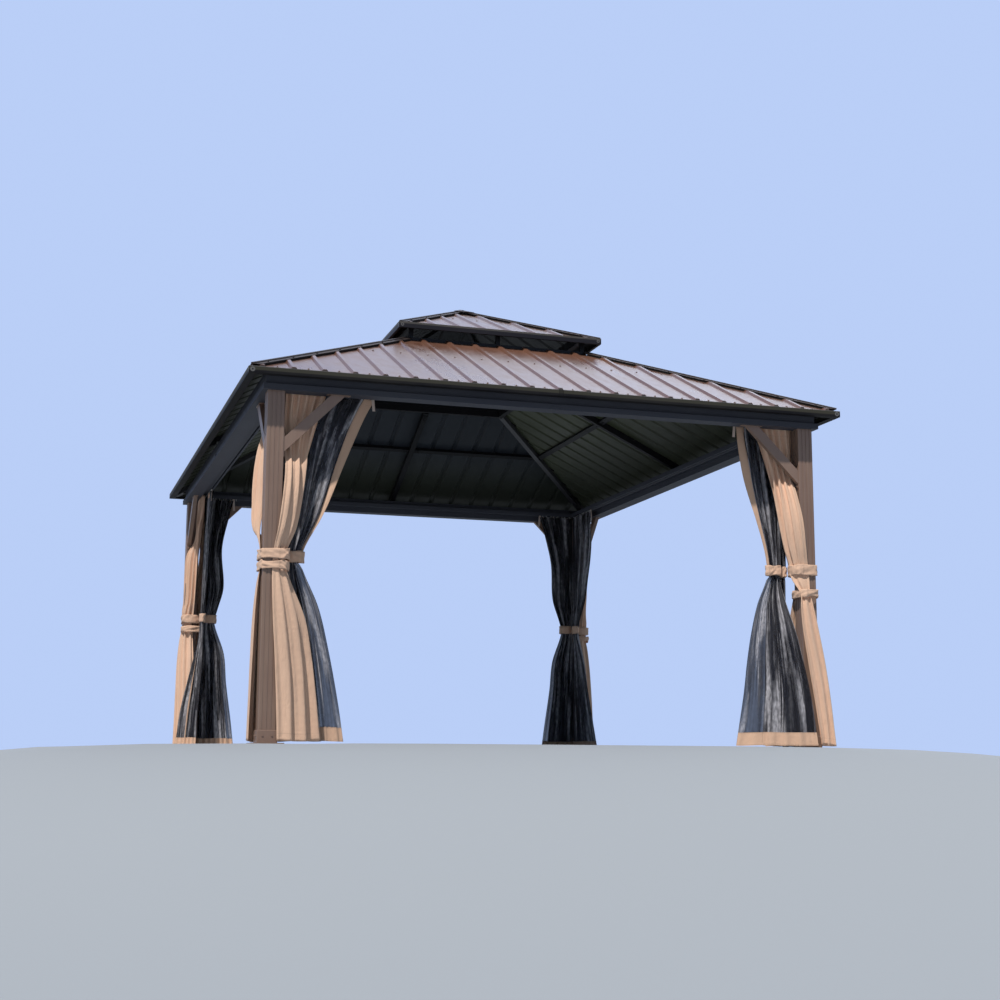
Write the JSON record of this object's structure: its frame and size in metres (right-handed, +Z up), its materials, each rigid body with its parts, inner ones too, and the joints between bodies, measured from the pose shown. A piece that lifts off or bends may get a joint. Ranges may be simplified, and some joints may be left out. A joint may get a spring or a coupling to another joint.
{
  "type": "metal gazebo",
  "caption": "Hipped metal garden gazebo with a raised, vented top roof, fluted posts, knee braces, ribbed sheet roofing, gutters, and tied-back curtains and insect nets.",
  "frame": {"origin": "middle of the footprint, on the floor the foot plates stand on", "axes": "+X to the right along the shorter front side, +Y from the front to the back along the longer side, +Z up"},
  "size_m": [3.72, 4.5, 3.2223],
  "materials": {
    "post": "satin brown powder coat on extruded aluminium",
    "beam": "satin near-black powder coat",
    "track": "satin near-black powder coat",
    "gutter": "satin dark bronze coating",
    "roof_sheet": "semi-gloss brown coating on ribbed steel sheet",
    "hip_cap": "semi-gloss dark brown coating",
    "frame": "satin near-black powder coat on steel tube",
    "curtain": "woven polyester, khaki",
    "net": "black mesh netting with khaki bindings"
  },
  "bodies": {
    "root": {"apex_cap": "hip_cap", "apex_hub": "frame", "beam_back": "beam", "beam_front": "beam", "beam_left": "beam", "beam_right": "beam", "curtains_back_left": "curtain", "curtains_back_right": "curtain", "curtains_front_left": "curtain", "curtains_front_right": "curtain", "feet": "post", "gutter_back": "gutter", "gutter_front": "gutter", "gutter_left": "gutter", "gutter_right": "gutter", "hip_rafters": "frame", "knee_braces": "beam", "lower_hip_caps": "hip_cap", "lower_sheet_back": "roof_sheet", "lower_sheet_front": "roof_sheet", "lower_sheet_left": "roof_sheet", "lower_sheet_right": "roof_sheet", "mid_rafters": "frame", "nets_back_left": "net", "nets_back_right": "net", "nets_front_left": "net", "nets_front_right": "net", "post_back_left": "post", "post_back_right": "post", "post_front_left": "post", "post_front_right": "post", "purlins": "frame", "track_back": "track", "track_front": "track", "track_left": "track", "track_right": "track", "upper_fascia": "gutter", "upper_hip_caps": "hip_cap", "upper_rafters": "frame", "upper_sheet_back": "roof_sheet", "upper_sheet_front": "roof_sheet", "upper_sheet_left": "roof_sheet", "upper_sheet_right": "roof_sheet", "vent_base_ends": "frame", "vent_base_sides": "frame", "vent_struts": "frame", "vent_top_ends": "frame", "vent_top_sides": "frame"}
  },
  "joints": []
}
